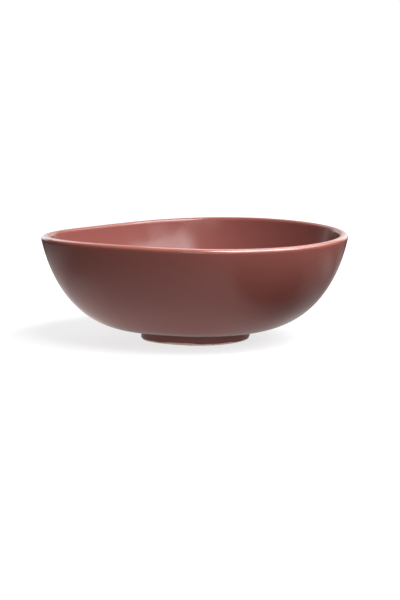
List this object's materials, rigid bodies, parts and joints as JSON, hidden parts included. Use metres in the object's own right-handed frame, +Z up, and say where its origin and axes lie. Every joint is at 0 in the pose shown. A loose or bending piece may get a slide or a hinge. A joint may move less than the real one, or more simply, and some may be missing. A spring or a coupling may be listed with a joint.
{
  "type": "cereal bowl",
  "caption": "Glazed stoneware cereal bowl, softly egg-shaped from above, with a rounded lip and a low foot ring with a bare standing face.",
  "frame": {"origin": "on the table, under the middle of the bowl's outline", "axes": "+X along the bowl's length towards its broad end, +Z up through the mouth"},
  "size_m": [0.1747, 0.1578, 0.0622],
  "materials": {
    "body_clay": "fired stoneware, matte",
    "foot_clay": "bare fired stoneware, wiped and sanded smooth",
    "inside_glaze": "satin burgundy glaze",
    "outside_glaze": "satin burgundy glaze, paler where it runs thin on the lip",
    "underside_glaze": "satin burgundy glaze"
  },
  "bodies": {
    "root": {"bowl_body": "body_clay", "foot_ring": "foot_clay", "inside_glaze": "inside_glaze", "outside_glaze": "outside_glaze", "underside_glaze": "underside_glaze"}
  },
  "joints": []
}
